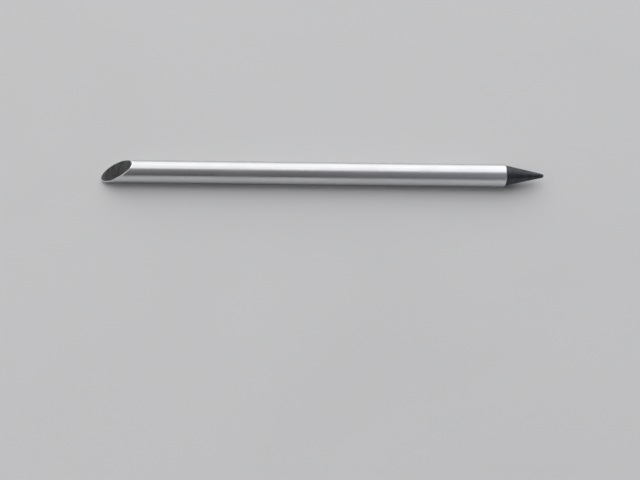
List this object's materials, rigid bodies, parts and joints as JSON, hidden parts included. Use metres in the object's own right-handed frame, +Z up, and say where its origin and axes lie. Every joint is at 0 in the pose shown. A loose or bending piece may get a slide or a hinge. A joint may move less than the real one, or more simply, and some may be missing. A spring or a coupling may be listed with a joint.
{
  "type": "inkless metal pencil",
  "caption": "Round metal pencil with a slanted flat end and a replaceable conical metal writing tip on a push-fit brass shank.",
  "frame": {"origin": "bottom centre of the lying pencil's box, on the surface that the pencil lies on", "axes": "+X along the pencil towards the writing point, +Z up, with the slanted face at the -X end facing up"},
  "size_m": [0.15, 0.0076, 0.0076],
  "materials": {
    "barrel": "satin anodised",
    "writing_tip": "dull grey alloy, ground to a point",
    "tip_shank": "turned and polished"
  },
  "bodies": {
    "barrel": {"barrel": "barrel"},
    "tip": {"writing_tip": "writing_tip", "tip_shank": "tip_shank"}
  },
  "joints": [
    {"name": "tip_pull", "type": "slide", "parent": "barrel", "child": "tip", "axis": [1, 0, 0], "range_m": [0, 0.012]}
  ]
}
